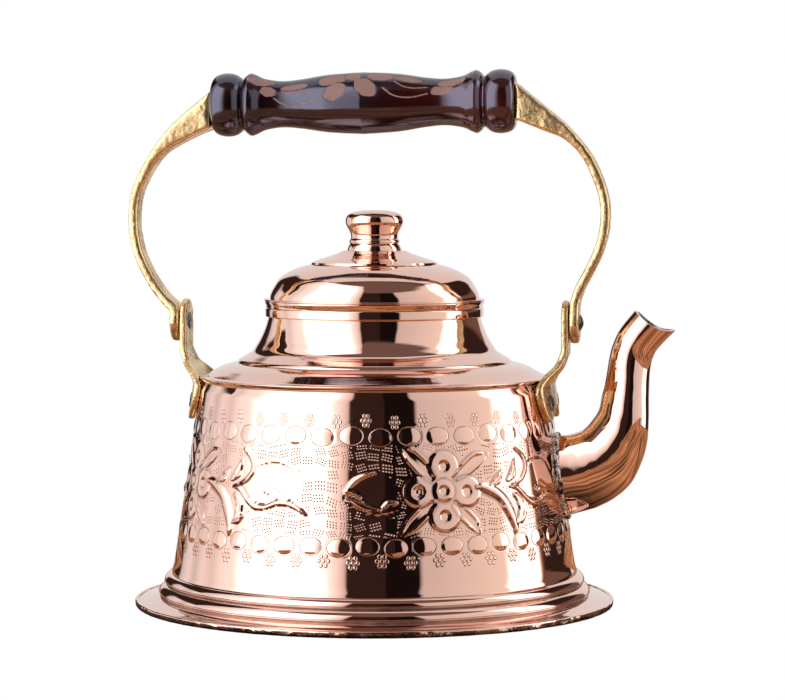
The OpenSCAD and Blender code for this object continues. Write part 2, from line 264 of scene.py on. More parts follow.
class Nodes:
    """A node tree and the few calls that it is written with."""

    def __init__(self, tree, coordinates="Object"):
        self.tree = tree
        self.place = self.node("ShaderNodeTexCoord").outputs[coordinates]

    def node(self, kind, **settings):
        made = self.tree.nodes.new(kind)
        for key, value in settings.items():
            setattr(made, key, value)
        return made

    def join(self, source, socket):
        self.tree.links.new(source, socket)

    def give(self, socket, value):
        """Sets a socket to a number, a vector or a colour, or joins an output to it."""
        if isinstance(value, bpy.types.NodeSocket):
            self.join(value, socket)
        elif socket.type == "RGBA":
            socket.default_value = (*value, 1)
        else:
            socket.default_value = value

    def filled(self, made, values, output=0):
        """Gives a node its first inputs in order, and returns one of its outputs."""
        for socket, value in zip(made.inputs, values):
            self.give(socket, value)
        return made.outputs[output]

    def maths(self, operation, *values):
        return self.filled(self.node("ShaderNodeMath", operation=operation), values)

    def joined(self, x, y, z=0.0):
        return self.filled(self.node("ShaderNodeCombineXYZ"), (x, y, z))

    def ranged(self, source, low, high, to_low, to_high, **settings):
        made = self.node("ShaderNodeMapRange", **settings)
        return self.filled(made, (source, low, high, to_low, to_high), "Result")

    def mixed(self, factor, first, second):
        made = self.node("ShaderNodeMix", data_type="RGBA")
        for index, value in ((0, factor), (6, first), (7, second)):
            self.give(made.inputs[index], value)
        return made.outputs[2]

    def stretched(self, scale, source=None, turn=0.0):
        made = self.node("ShaderNodeMapping")
        made.inputs["Scale"].default_value = scale
        made.inputs["Rotation"].default_value = (0, 0, turn)
        self.join(source or self.place, made.inputs["Vector"])
        return made.outputs[0]

    def noise(self, scale, detail=3.0, roughness=0.5, source=None):
        made = self.node("ShaderNodeTexNoise")
        made.inputs["Scale"].default_value = scale
        made.inputs["Detail"].default_value = detail
        made.inputs["Roughness"].default_value = roughness
        self.join(source or self.place, made.inputs["Vector"])
        return made.outputs["Fac"]

    def ramp(self, source, stops):
        made = self.node("ShaderNodeValToRGB")
        fill_ramp(made.color_ramp, stops)
        self.join(source, made.inputs["Fac"])
        return made.outputs["Color"]

    def split(self, vector):
        """The x, y and z of a vector."""
        made = self.node("ShaderNodeSeparateXYZ")
        self.join(vector, made.inputs[0])
        return made.outputs

    def white_to_camera(self, otherwise):
        """Mixes a shader with plain white, which only the camera sees."""
        seen = self.node("ShaderNodeLightPath").outputs["Is Camera Ray"]
        white = self.node(otherwise.node.bl_idname)
        white.inputs["Color"].default_value = (1, 1, 1, 1)
        white.inputs["Strength"].default_value = 1.0
        return self.filled(self.node("ShaderNodeMixShader"), (seen, otherwise, white.outputs[0]))


class Finish(Nodes):
    """A material of one of the pot's own surfaces."""

    def __init__(self, name, metallic, roughness, colour):
        self.material = bpy.data.materials.new(name)
        self.material.use_nodes = True
        super().__init__(self.material.node_tree)
        self.shader = self.tree.nodes["Principled BSDF"]
        self.shader.inputs["Metallic"].default_value = metallic
        self.shader.inputs["Roughness"].default_value = roughness
        self.shader.inputs["Base Color"].default_value = (*colour, 1)

    def set(self, name, source):
        self.join(source, self.shader.inputs[name])

    def attribute(self, name):
        return self.node("ShaderNodeAttribute", attribute_name=name).outputs["Fac"]

    def far(self, a, b):
        """The length of (a, b)."""
        return self.maths("SQRT", self.maths("ADD", self.maths("MULTIPLY", a, a),
                                             self.maths("MULTIPLY", b, b)))

    def round_and_up(self):
        """Radius, angle in radians and height of each point about the pot's axis."""
        x, y, z = self.split(self.place)
        return self.far(x, y), self.maths("ARCTAN2", y, x), z

    def bump(self, height, distance, strength=1.0, under=None):
        """Relief of so many metres for a height of 1, on top of another relief."""
        made = self.node("ShaderNodeBump")
        made.inputs["Strength"].default_value = strength
        made.inputs["Distance"].default_value = distance
        self.join(height, made.inputs["Height"])
        if under:
            self.join(under, made.inputs["Normal"])
        return made.outputs[0]


def fill_ramp(ramp, stops):
    """Sets a colour ramp's stops, given as (position, grey or colour)."""
    while len(ramp.elements) < len(stops):
        ramp.elements.new(1.0)
    for element, (position, _) in zip(ramp.elements, stops):
        element.position = position
    for element, (position, value) in zip(ramp.elements, stops):
        colour = value if isinstance(value, tuple) else (value,) * 3
        element.color = (*colour, 1)


# ---------------------------------------------------------------- materials

COPPER = (0.925, 0.62, 0.53)
COPPER_WARM = (0.88, 0.53, 0.42)
COPPER_DARK = (0.09, 0.04, 0.03)


def lathe_lines(finish, depth):
    """Fine rings left by spinning, which follow the radius and the height."""
    radius, _, z = finish.round_and_up()
    rings = finish.noise(1.0, 2.0, 0.6, finish.joined(finish.maths("MULTIPLY", radius, 2600),
                                                      finish.maths("MULTIPLY", z, 2600)))
    broad = finish.noise(1.0, 1.0, 0.5, finish.joined(finish.maths("MULTIPLY", radius, 420),
                                                      finish.maths("MULTIPLY", z, 420)))
    both = finish.maths("ADD", rings, finish.maths("MULTIPLY", broad, 2.0))
    return finish.bump(both, depth)


def copper_finish(name, line_depth):
    """Mirror-polished copper with spinning lines, faint cloudy tints and fine wear.

    Without spinning lines it is left with the soft waves of a planishing hammer.
    """
    finish = Finish(name, 1.0, 0.07, COPPER)
    cloud = finish.noise(28, 3.0)
    finish.set("Base Color", finish.mixed(finish.ranged(cloud, 0.42, 0.7, 0.0, 0.35),
                                          COPPER, COPPER_WARM))
    smear = finish.noise(160, 4.0, 0.65)
    finish.set("Roughness", finish.ranged(smear, 0.3, 0.75, 0.018, 0.06))
    if line_depth:
        finish.set("Normal", lathe_lines(finish, line_depth))
    else:
        finish.set("Normal", finish.bump(finish.noise(110, 1.0), 0.00022))
    return finish


def embossed_finish():
    """The wall's copper: chased lines and outlines coloured dark, and a ground of dark punched dots in
    small blocks.
    """
    finish = copper_finish("copper_embossed", 0.0000012)
    _, angle, z = finish.round_and_up()
    high = finish.maths("MULTIPLY", z, 1 / MM)
    dot, dent = punched_dots(finish, angle, high)
    ring, rise = struck_rows(finish, angle, high)
    colour = finish.shader.inputs["Base Color"].links[0].from_socket
    # The chased grooves and outlines are coloured dark.
    chased_darkening = finish.maths("MULTIPLY", finish.attribute("chased"), 0.6)
    colour = finish.mixed(chased_darkening, colour, COPPER_DARK)
    faint = finish.ranged(finish.noise(260, 2.0), 0.4, 0.58, 0.35, 0.95)
    colour = finish.mixed(finish.maths("MULTIPLY", ring, faint), colour, (0.03, 0.014, 0.011))
    finish.set("Base Color", finish.mixed(dot, colour, (0.012, 0.006, 0.005)))
    under = finish.shader.inputs["Normal"].links[0].from_socket
    under = finish.bump(rise, 0.0001, 0.7, under)
    finish.set("Normal", finish.bump(dent, 0.00012, 1.0, under))
    return finish.material


def punched_dots(finish, angle, high):
    """Blocks of four by three dots, each block set down a little crooked."""
    wide = 4.9
    tall = 3.95
    s = finish.maths("MULTIPLY", angle, 70.5 / wide)
    up = finish.maths("MULTIPLY", high, 1 / tall)
    sway = finish.maths("MULTIPLY_ADD", finish.noise(38, 1.0), 2.4, -1.2)
    up = finish.maths("ADD", up, sway)
    cells = finish.node("ShaderNodeTexWhiteNoise", noise_dimensions="2D")
    finish.join(finish.joined(finish.maths("FLOOR", s), finish.maths("FLOOR", up)),
                cells.inputs["Vector"])
    shake = finish.node("ShaderNodeSeparateColor")
    finish.join(cells.outputs["Color"], shake.inputs[0])
    a = finish.maths("SUBTRACT", finish.maths("FRACT", s), 0.5)
    b = finish.maths("SUBTRACT", finish.maths("FRACT", up), 0.5)
    lean = finish.maths("MULTIPLY_ADD", shake.outputs[1], 0.9, -0.45)
    turned_a = finish.maths("MULTIPLY_ADD", b, lean, a)
    turned_b = finish.maths("SUBTRACT", b, finish.maths("MULTIPLY", a, lean))
    spots = []
    for along, offset, size, half in ((turned_a, shake.outputs[0], wide / 1.06, 2.0),
                                      (turned_b, shake.outputs[2], tall / 1.04, 1.5)):
        moved = finish.maths("ADD", along, finish.maths("MULTIPLY_ADD", offset, 0.16, -0.08))
        dots = finish.maths("MULTIPLY", moved, size)
        off = finish.maths("SUBTRACT", finish.maths("FRACT", finish.maths("ADD", dots, half)), 0.5)
        spots.append((off, finish.maths("LESS_THAN", finish.maths("ABSOLUTE", dots), half)))
    (off_a, inside_a), (off_b, inside_b) = spots
    reach = finish.far(off_a, off_b)
    mask = finish.maths("MULTIPLY", inside_a, inside_b)
    mask = finish.maths("MULTIPLY", mask, finish.ranged(shake.outputs[1], 0.1, 0.11, 0.0, 1.0))
    mask = finish.maths("MULTIPLY", mask, finish.attribute("ground"))
    dot = finish.maths("MULTIPLY", finish.ranged(reach, 0.12, 0.23, 1.0, 0.0), mask)
    bowl = finish.maths("MULTIPLY", finish.ranged(reach, 0.1, 0.31, 1.0, 0.0), mask)
    return dot, finish.maths("SUBTRACT", 1.0, bowl)


def struck_rows(finish, angle, high):
    """Outlines of the pearls and the small florets of beads between them: line and relief."""
    lines = []
    rises = []
    for (count, start, pearl_z, floret_z), squeeze in zip(ROWS, (1.34, 1.08)):
        turn = finish.maths("MULTIPLY_ADD", angle, count / (2 * math.pi), -start * count / 360)
        step = 2 * math.pi * wall_radius(pearl_z) / count
        for shift, centre_z, kind in ((0.0, pearl_z, "pearl"), (0.5, floret_z, "floret")):
            place = finish.maths("ADD", turn, -shift)
            index = finish.maths("ROUND", place)
            s = finish.maths("SUBTRACT", place, index)
            wave = finish.maths("SINE", finish.maths("MULTIPLY", index, 3.7))
            s = finish.maths("MULTIPLY", s, step)
            up = finish.maths("ADD", high, finish.maths("MULTIPLY_ADD", wave, -LIFT, -centre_z))
            if kind == "pearl":
                q = finish.far(finish.maths("MULTIPLY", s, 1 / PEARL_R[0]),
                               finish.maths("MULTIPLY", up, 1 / PEARL_R[1]))
                off = finish.maths("ABSOLUTE", finish.maths("SUBTRACT", q, 1.0))
                lines.append(finish.maths("MULTIPLY", finish.ranged(off, 0.01, 0.055, 1.0, 0.0),
                                          0.7))
                continue
            s = finish.maths("MULTIPLY", s, squeeze)
            reach = finish.far(s, up)
            sector = finish.maths("MULTIPLY", finish.maths("ARCTAN2", up, s), 3 / math.pi)
            fold = finish.maths("SUBTRACT", sector, finish.maths("ROUND", sector))
            fold = finish.maths("MULTIPLY", fold, math.pi / 3)
            out = finish.maths("SUBTRACT", finish.maths("MULTIPLY", reach,
                                                        finish.maths("COSINE", fold)), 1.86)
            side = finish.maths("MULTIPLY", reach, finish.maths("SINE", fold))
            bead = finish.maths("MINIMUM", finish.far(out, side), reach)
            off = finish.maths("ABSOLUTE", finish.maths("SUBTRACT", bead, 0.68))
            lines.append(finish.ranged(off, 0.02, 0.15, 0.75, 0.0))
            rises.append(finish.ranged(bead, 0.15, 0.72, 1.0, 0.0))
    line = lines[0]
    for other in lines[1:]:
        line = finish.maths("MAXIMUM", line, other)
    rise = finish.maths("MAXIMUM", *rises)
    return line, finish.maths("SUBTRACT", rise, line)


def edge_finish():
    """The base's edge as the hammer left it, with dark patches of painted shade and bright copper
    between them.
    """
    finish = copper_finish("copper_edge", 0)
    scale = finish.noise(170, 3.0, 0.6)
    colour = finish.shader.inputs["Base Color"].links[0].from_socket
    # Painted shade: where the noise is low the copper is coloured dark, standing for the shaded table
    # that the rim reflects; elsewhere the copper stays bright.
    finish.set("Base Color", finish.mixed(finish.ranged(scale, 0.47, 0.56, 0.92, 0.0), colour,
                                          COPPER_DARK))
    finish.set("Roughness", finish.ranged(scale, 0.4, 0.6, 0.4, 0.1))
    finish.set("Normal", finish.bump(scale, 0.0006))
    return finish.material


def tin_finish(name):
    """Hand-wiped tin lining: dull silver, streaked."""
    finish = Finish(name, 1.0, 0.35, (0.62, 0.60, 0.57))
    streak = finish.noise(90, 5.0, 0.6, finish.stretched((1, 1, 0.25)))
    finish.set("Base Color", finish.ramp(streak, [(0.3, (0.42, 0.40, 0.38)),
                                                  (0.7, (0.74, 0.72, 0.69))]))
    finish.set("Roughness", finish.ranged(streak, 0.3, 0.7, 0.24, 0.5))
    finish.set("Normal", finish.bump(streak, 0.00012))
    return finish.material


def brass_finish(name, light, dark, gloss):
    """Sand-cast brass: golden where it is rubbed, brown in the pits of the grain."""
    finish = Finish(name, 1.0, 0.32, light)
    grain = finish.noise(900, 4.0, 0.6)
    patch = finish.noise(150, 3.0)
    worn = finish.node("ShaderNodeNewGeometry").outputs["Pointiness"]
    tone = finish.maths("ADD", finish.maths("MULTIPLY", grain, 0.5),
                        finish.maths("MULTIPLY", patch, 0.5))
    tone = finish.maths("ADD", tone, finish.ranged(worn, 0.46, 0.56, -0.10, 0.12))
    finish.set("Base Color", finish.ramp(tone, [(0.34, dark), (0.47, light),
                                                (0.72, tuple(min(c * 1.15, 1) for c in light))]))
    finish.set("Roughness", finish.ranged(tone, 0.35, 0.65, gloss + 0.22, gloss))
    finish.set("Normal", finish.bump(grain, 0.0001, 0.8,
                                     finish.bump(patch, 0.0006, 0.7)))
    return finish.material


def rivet_finish():
    """Hammered rivet metal: grey, bright on the dents' edges."""
    finish = Finish("rivet_metal", 1.0, 0.3, (0.62, 0.58, 0.54))
    dents = finish.node("ShaderNodeTexVoronoi", feature="SMOOTH_F1")
    dents.inputs["Scale"].default_value = 900
    finish.join(finish.place, dents.inputs["Vector"])
    grime = finish.noise(700, 4.0)
    finish.set("Base Color", finish.ramp(grime, [(0.36, (0.05, 0.045, 0.045)),
                                                 (0.56, (0.16, 0.145, 0.14)),
                                                 (0.72, (0.50, 0.47, 0.45))]))
    finish.set("Roughness", finish.ranged(grime, 0.3, 0.7, 0.5, 0.28))
    finish.set("Normal", finish.bump(dents.outputs["Distance"], 0.0003))
    return finish.material


def solder_finish():
    """Lumpy tin solder, dark in the hollows of its lumps and bright silver on its high spots, partly
    the tin's own colour and partly painted highlights.
    """
    finish = Finish("solder", 1.0, 0.4, (0.40, 0.35, 0.32))
    lumps = finish.noise(520, 4.0, 0.6, finish.stretched((1, 1, 0.5)))
    # Painted highlights: the brightest colour sits on the lumps' high spots to stand for glints; the
    # hollows are coloured dark.
    finish.set("Base Color", finish.ramp(lumps, [(0.38, (0.03, 0.02, 0.02)),
                                                 (0.46, (0.24, 0.20, 0.19)),
                                                 (0.52, (0.92, 0.91, 0.90))]))
    finish.set("Roughness", finish.ranged(lumps, 0.4, 0.54, 0.4, 0.12))
    finish.set("Normal", finish.bump(lumps, 0.0007))
    return finish.material


def steel_finish():
    """Drawn steel rod with lines along it."""
    finish = Finish("steel_rod", 1.0, 0.35, (0.55, 0.56, 0.57))
    lines = finish.noise(1.0, 3.0, 0.5, finish.stretched((40, 2500, 2500)))
    finish.set("Base Color", finish.ramp(lines, [(0.3, (0.40, 0.41, 0.42)),
                                                 (0.7, (0.64, 0.65, 0.66))]))
    finish.set("Normal", finish.bump(lines, 0.00003))
    return finish.material


def wood_finish():
    """Dark red lacquer over turned wood, with flowers etched through to paler wood."""
    finish = Finish("grip_wood", 0.0, 0.26, (0.04, 0.007, 0.006))
    finish.shader.inputs["IOR"].default_value = 2.0
    # Painted highlight colour: the bluish Specular Tint tints the lacquer's reflections, a colour that
    # belongs to the light and not to the lacquer.
    finish.shader.inputs["Specular Tint"].default_value = (0.72, 0.72, 1.0, 1)
    finish.shader.inputs["Coat Weight"].default_value = 0.2
    finish.shader.inputs["Coat Roughness"].default_value = 0.07
    grain = finish.noise(120, 5.0, 0.6, finish.stretched((0.12, 1, 1)))
    lacquer = finish.ramp(grain, [(0.32, (0.003, 0.0005, 0.0008)), (0.52, (0.008, 0.0009, 0.0012)),
                                  (0.74, (0.035, 0.003, 0.003))])
    redder = finish.ranged(finish.split(finish.place)[0], -0.01, 0.055, 0.0, 1.0)
    lacquer = finish.mixed(redder, lacquer, finish.ramp(grain, [(0.3, (0.012, 0.0015, 0.0015)),
                                                                (0.7, (0.09, 0.01, 0.006))]))
    etched = finish.attribute("etched")
    hatch = []
    for turn in (0.7, -0.7):
        lines = finish.node("ShaderNodeTexWave", bands_direction="X")
        lines.inputs["Scale"].default_value = 1.0
        finish.join(finish.stretched((500, 500, 500), turn=turn), lines.inputs["Vector"])
        hatch.append(lines.outputs["Fac"])
    weave = finish.maths("MULTIPLY", hatch[0], finish.ranged(hatch[1], 0.0, 1.0, 0.3, 1.0))
    pale = finish.ramp(weave, [(0.15, (0.40, 0.20, 0.135)), (0.75, (0.10, 0.032, 0.024))])
    finish.set("Base Color", finish.mixed(finish.ranged(etched, 0.35, 0.6, 0.0, 1.0), lacquer,
                                          pale))
    orange_peel = finish.noise(420, 2.0)
    smear = finish.noise(60, 3.0)
    gloss = finish.ranged(smear, 0.35, 0.7, 0.11, 0.2)
    matt = finish.ranged(etched, 0.3, 0.6, 0.0, 0.5)
    finish.set("Roughness", finish.maths("ADD", gloss, matt))
    carved = finish.maths("MULTIPLY", weave, etched)
    finish.set("Normal", finish.bump(carved, 0.00008, 1.0, finish.bump(orange_peel, 0.00002)))
    return finish.material


POLISHED = copper_finish("copper_polished", 0.000006).material
EMBOSSED = embossed_finish()
EDGE = edge_finish()
SATIN = copper_finish("copper_plain", 0.000012).material
TIN = tin_finish("tin_lining")
BRASS = brass_finish("cast_brass", (0.86, 0.63, 0.34), (0.40, 0.23, 0.09), 0.2)
RIVET = rivet_finish()
SOLDER = solder_finish()
STEEL = steel_finish()
WOOD = wood_finish()
PLANISHED = copper_finish("copper_hand", 0).material


# ---------------------------------------------------------------- the embossed wall

class Relief:
    """Height, darkened lines and covered ground of the embossing, at points given as (s, z) in
    millimetres.
    """

    def __init__(self, s, z):
        self.s = s
        self.z = z
        self.height = np.zeros_like(s)
        self.chased = np.zeros_like(s)
        self.cover = np.zeros_like(s)

    def near(self, centre, reach):
        """The points within reach of a centre."""
        return np.flatnonzero((abs(self.s - centre[0]) < reach) & (abs(self.z - centre[1]) < reach))

    def raise_to(self, where, height):
        self.height[where] = np.maximum(self.height[where], height)

    def bosses(self, centres, size, height, flat=1.0, line=0.16):
        """Raised ovals that run into one another, with one chased line round them all."""
        solid = np.zeros_like(self.s)
        edge = np.zeros_like(self.s)
        for centre in centres:
            q = np.hypot((self.s - centre[0]) / size[0], (self.z - centre[1]) / size[1])
            inside = np.clip(1 - q ** (2 * flat), 0, 1)
            self.height = np.maximum(self.height, height * inside ** 0.7)
            solid = np.maximum(solid, smooth((0.97 - q) * 12))
            edge = np.maximum(edge, np.exp(-((q - 1.03) * min(size) / 0.36) ** 2))
            self.cover = np.maximum(self.cover, smooth((1.2 - q) * 6))
        edge *= 1 - solid
        self.height -= line * edge
        self.chased = np.maximum(self.chased, 0.8 * edge)

    def dimple(self, centre, radius, depth):
        """A round punched hollow with a small rise in its middle."""
        where = self.near(centre, radius * 2)
        q = np.hypot(self.s[where] - centre[0], self.z[where] - centre[1]) / radius
        bowl = np.clip(1 - q ** 2, 0, 1) ** 0.8
        rise = np.clip(1 - (q / 0.45) ** 2, 0, 1)
        self.height[where] += depth * (0.45 * rise - bowl)
        edge = np.exp(-((q - 0.92) * radius / 0.35) ** 2)
        self.chased[where] = np.maximum(self.chased[where], 0.7 * edge)

    def stroke(self, path, widths, height, hollow=0.0, line=0.12, ground=1.5):
        """A raised band along a path whose half-widths run from one end to the other.

        A negative height chases a groove, and hollow sinks the middle of a leaf.
        """
        path = np.array(curve(path, 8))
        middle = (path.min(0) + path.max(0)) / 2
        reach = (path.max(0) - path.min(0)).max() / 2 + 3 * max(widths) + 1
        where = self.near(middle, reach)
        points = np.stack([self.s[where], self.z[where]], axis=1)
        best = np.full(len(where), 1e9)
        run = np.zeros(len(where))
        for k in range(len(path) - 1):
            a = path[k]
            step = path[k + 1] - a
            t = np.clip(((points - a) @ step) / (step @ step), 0, 1)
            d = np.linalg.norm(points - a - t[:, None] * step, axis=1)
            closer = d < best
            best = np.where(closer, d, best)
            run = np.where(closer, (k + t) / (len(path) - 1), run)
        width = np.interp(run, np.linspace(0, 1, len(widths)), widths)
        q = best / np.maximum(width, 0.15)
        body = np.clip(1 - q ** 2, 0, 1)
        if height < 0:
            self.height[where] += height * body
            self.chased[where] = np.maximum(self.chased[where], body ** 0.5)
        else:
            shape = body ** 0.6 - hollow * np.clip(1 - (q / 0.72) ** 2, 0, 1)
            self.raise_to(where, height * np.maximum(shape, -0.4))
            edge = np.exp(-((best - width - 0.1) / 0.34) ** 2)
            self.height[where] -= line * edge
            self.chased[where] = np.maximum(self.chased[where], 0.75 * edge)
        self.cover[where] = np.maximum(self.cover[where], smooth((width + ground - best) / 0.6))

    def quiet(self, centre, size):
        """An oval left free of punched dots."""
        q = np.hypot((self.s - centre[0]) / size[0], (self.z - centre[1]) / size[1])
        self.cover = np.maximum(self.cover, smooth((1.1 - q) * 6))


def rosette(r):
    """Four round petals about a button, with four pointed leaves between them."""
    leaves = [
        ([(-4.6, 53.6), (-8.0, 57.8), (-11.8, 61.6), (-15.8, 64.8)], (1.8, 3.3, 3.0, 0.2)),
        ([(-4.2, 44.4), (-8.2, 41.4), (-12.2, 37.6), (-16.2, 33.4)], (1.5, 2.9, 2.7, 0.2)),
        ([(4.6, 53.4), (9.2, 56.6), (13.6, 59.4), (18.8, 61.0)], (1.2, 2.7, 2.9, 0.2)),
        ([(3.8, 43.6), (7.4, 40.6), (10.6, 37.2), (13.0, 33.0)], (1.3, 2.6, 2.5, 0.2)),
    ]
    for path, widths in leaves:
        r.stroke(path, widths, 0.7, hollow=1.35, line=0.18)
    petals = [(0.2, 57.6), (-9.6, 48.9), (-0.2, 40.1), (8.8, 48.5)]
    r.bosses(petals + [(-0.3, MOTIF_Z)], (5.9, 5.6), 0.45, flat=4.0, line=0.2)
    r.bosses([(-0.3, MOTIF_Z)], (4.4, 4.2), 0.7, flat=2.0, line=0.15)
    for centre in petals:
        r.dimple(centre, 2.15, 0.75)
    r.dimple((-0.3, MOTIF_Z), 2.1, 0.7)


def branch(r):
    """The stem, leaves and crescent that stand to the right of a rosette."""
    r.stroke([(12.6, 49.8), (16.2, 49.6), (21.2, 47.4), (25.2, 43.6), (27.8, 39.2), (29.2, 35.4),
              (29.2, 32.6)], (0.7, 1.5, 2.1, 2.3, 2.1, 1.6, 0.8), 0.8, line=0.2)
    r.stroke([(14.6, 47.6), (18.4, 46.4), (22.0, 44.6), (24.4, 42.4)], (0.3, 0.9, 0.8, 0.2), -0.5)
    r.stroke([(19.4, 50.2), (22.6, 52.0), (26.0, 55.4)], (0.5, 1.7, 0.2), 0.8, hollow=0.9)
    r.stroke([(27.8, 51.6), (30.6, 54.0), (32.0, 58.6)], (0.6, 1.8, 0.2), 0.9, hollow=0.9)
    r.stroke([(32.8, 62.6), (37.0, 59.4), (38.2, 55.6), (35.4, 51.8), (31.4, 49.8)],
             (0.3, 0.8, 0.9, 0.8, 0.3), 0.6)
    r.stroke([(30.0, 46.4), (32.8, 43.6), (32.8, 39.4), (29.8, 36.0)], (0.3, 1.6, 1.5, 0.2), 0.95,
             hollow=0.5)
    r.stroke([(30.2, 36.2), (33.0, 37.0), (35.4, 39.0)], (0.4, 1.0, 0.2), 0.7)


def scrolls(r):
    """The two long plain leaves, each over a curling line, that fill the way to the next rosette."""
    r.stroke([(28.6, 49.0), (32.2, 48.4), (36.4, 44.8), (40.2, 42.6), (44.6, 42.5), (49.6, 44.3),
              (54.4, 44.2), (58.4, 42.4), (61.6, 40.2)],
             (0.4, 0.9, 0.8, 1.2, 0.9, 1.1, 1.1, 0.8, 0.3), 0.6, line=0.2)
    r.stroke([(39.4, 56.4), (44.0, 57.8), (49.6, 58.0), (54.6, 56.2), (57.6, 53.4)],
             (0.2, 0.35, 0.35, 0.35, 0.2), -0.3)
    r.stroke([(42.6, 47.8), (46.0, 46.8)], (0.3, 0.3), -0.3)
    r.stroke([(47.6, 49.6), (51.6, 47.6)], (0.3, 0.3), -0.3)
    r.quiet((47.5, 50.4), (12, 7.2))
    r.stroke([(-35.2, 49.4), (-32.6, 52.4), (-29.2, 54.5), (-24.6, 55.8)],
             (0.5, 1.0, 0.7, 0.2), 0.55)
    r.stroke([(-35.0, 49.4), (-31.6, 48.4), (-29.6, 46.2), (-28.6, 43.6)],
             (0.9, 0.8, 0.4, 0.2), 0.45)
    r.stroke([(-35.4, 47.0), (-31.4, 44.8), (-27.2, 43.1), (-23.0, 42.6)],
             (0.3, 1.2, 1.2, 0.2), 0.6, line=0.2)
    r.stroke([(-22.8, 43.2), (-20.4, 45.0), (-17.4, 45.0)], (0.3, 1.1, 0.5), 0.6)
    r.stroke([(-29.0, 41.2), (-23.4, 40.7), (-17.2, 42.0)], (0.2, 0.35, 0.2), -0.3)
    r.quiet((-25.5, 49.4), (8.8, 6.0))


def wall_relief(angle, z):
    """The whole embossing at points of the wall: height, darkened lines and bare ground."""
    height = np.zeros_like(z)
    chased = np.zeros_like(z)
    cover = np.zeros_like(z)
    mean_r = 70.5
    period = 360 / MOTIF_TURNS
    rel = (np.degrees(angle) - MOTIF_START + 36) % period - 36
    motif = Relief(np.radians(rel) * mean_r, z)
    rosette(motif)
    branch(motif)
    scrolls(motif)
    height += motif.height
    chased += motif.chased
    cover += motif.cover
    for count, start, pearl_z, _ in ROWS:
        step = 2 * math.pi * wall_radius(pearl_z) / count
        place = (np.degrees(angle) - start) * count / 360
        index = np.round(place)
        s = (place - index) * step
        up = z - pearl_z - LIFT * np.sin(3.7 * index)
        q = np.hypot(s / PEARL_R[0], up / PEARL_R[1])
        struck = 0.31 + 0.05 * np.sin(2.9 * index + count)
        tilt = 0.45 * np.sin(5.1 * index) * s / PEARL_R[0]
        tilt -= 0.4 * np.sin(7.3 * index + 1) * up / PEARL_R[1]
        dome = struck * (1 + tilt) * np.clip(1 - q ** 2, 0, 1) ** 1.15
        edge = np.exp(-((q - 1.03) * 3.6 / 0.45) ** 2)
        near = q < 1.3
        height = np.where(near, dome - 0.07 * edge, height)
        cover = np.maximum(cover, smooth((1.22 - q) * 6))
    band = smooth((z - 32.5) / 1.5) * smooth((66 - z) / 1.5)
    return height, np.clip(chased, 0, 1), np.clip(1 - cover, 0, 1) * band


def spout_bores():
    """The strainer's holes behind the spout, as one cutter."""
    bm = bmesh.new()
    hole_d = 3.4
    pitch = 5
    root_z = 48.8
    for row in range(-2, 3):
        for col in range(-1, 2):
            if abs(row) < 2 or col == 0:
                turn = Matrix.Translation((66, col * pitch, root_z + row * pitch))
                turn = turn @ Matrix.Rotation(math.pi / 2, 4, "Y")
                bmesh.ops.create_cone(bm, cap_ends=True, segments=24, radius1=hole_d / 2,
                                      radius2=hole_d / 2, depth=20, matrix=turn)
    return bm


def drilled(bm, cutter):
    """Cuts one shape out of another."""
    objects = []
    for shape, name in ((bm, "blank"), (cutter, "cutter")):
        mesh = bpy.data.meshes.new(name)
        shape.to_mesh(mesh)
        shape.free()
        obj = bpy.data.objects.new(name, mesh)
        bpy.context.scene.collection.objects.link(obj)
        objects.append(obj)
    cut = objects[0].modifiers.new("cut", "BOOLEAN")
    cut.operation = "DIFFERENCE"
    cut.solver = "MANIFOLD"
    cut.object = objects[1]
    out = bmesh.new()
    out.from_object(objects[0], bpy.context.evaluated_depsgraph_get())
    for obj in objects:
        bpy.data.objects.remove(obj)
    return out


def flare(z):
    """The wall spreads a little into its foot and rolls in under the shoulder."""
    foot = 0.45 * np.clip((17 - z) / 4, 0, 1) ** 2
    past = max(z - 80.6, 0.0)
    return (foot if z >= FOOT_Z else 0.0) - 0.33 * past * past / (past + 0.7)


def make_wall():
    """The leaning wall, embossed from inside and chased from outside."""
    heights = [WALL_LOW, 8.0, 13.0, 13.8, 14.6, 15.4, 16.4, 18.0, 20.0, 22.0]
    heights += list(np.arange(23.5, 32.9, 0.8))
    heights += list(np.linspace(33.2, 66.0, 68))
    heights += list(np.arange(66.8, 77.0, 0.8))
    heights += [78.5, 80.0, 80.6, 81.0, 81.4, 81.9, 82.5, 83.2, WALL_TOP]
    outside = [(wall_radius(z) + flare(z), z) for z in heights]
    inside = [(wall_radius(z) + 0.9 * min(flare(z), 0) - SHEET, z)
              for z in (WALL_TOP, 80, 62, 36, WALL_LOW)]
    bm = turned(outside + inside, 836)
    bm = drilled(bm, spout_bores())
    places = np.array([v.co[:] for v in bm.verts])
    radius = np.hypot(places[:, 0], places[:, 1])
    z = places[:, 2]
    angle = np.arctan2(places[:, 1], places[:, 0])
    outer = radius > wall_radius(z) - 0.98
    height = np.zeros(len(z))
    chased = np.zeros(len(z))
    ground = np.zeros(len(z))
    height[outer], chased[outer], ground[outer] = wall_relief(angle[outer], z[outer])
    places[:, 0] *= 1 + height / radius
    places[:, 1] *= 1 + height / radius
    moved_to(bm, places).verts.index_update()
    wall = piece(bm, "wall_copper", "pot", [EMBOSSED, TIN], ["body_wall"],
                 lining=lambda c, n: n.x * c.x + n.y * c.y < 0)
    keep_values(wall, "chased", chased)
    keep_values(wall, "ground", ground)


# ---------------------------------------------------------------- spun pieces

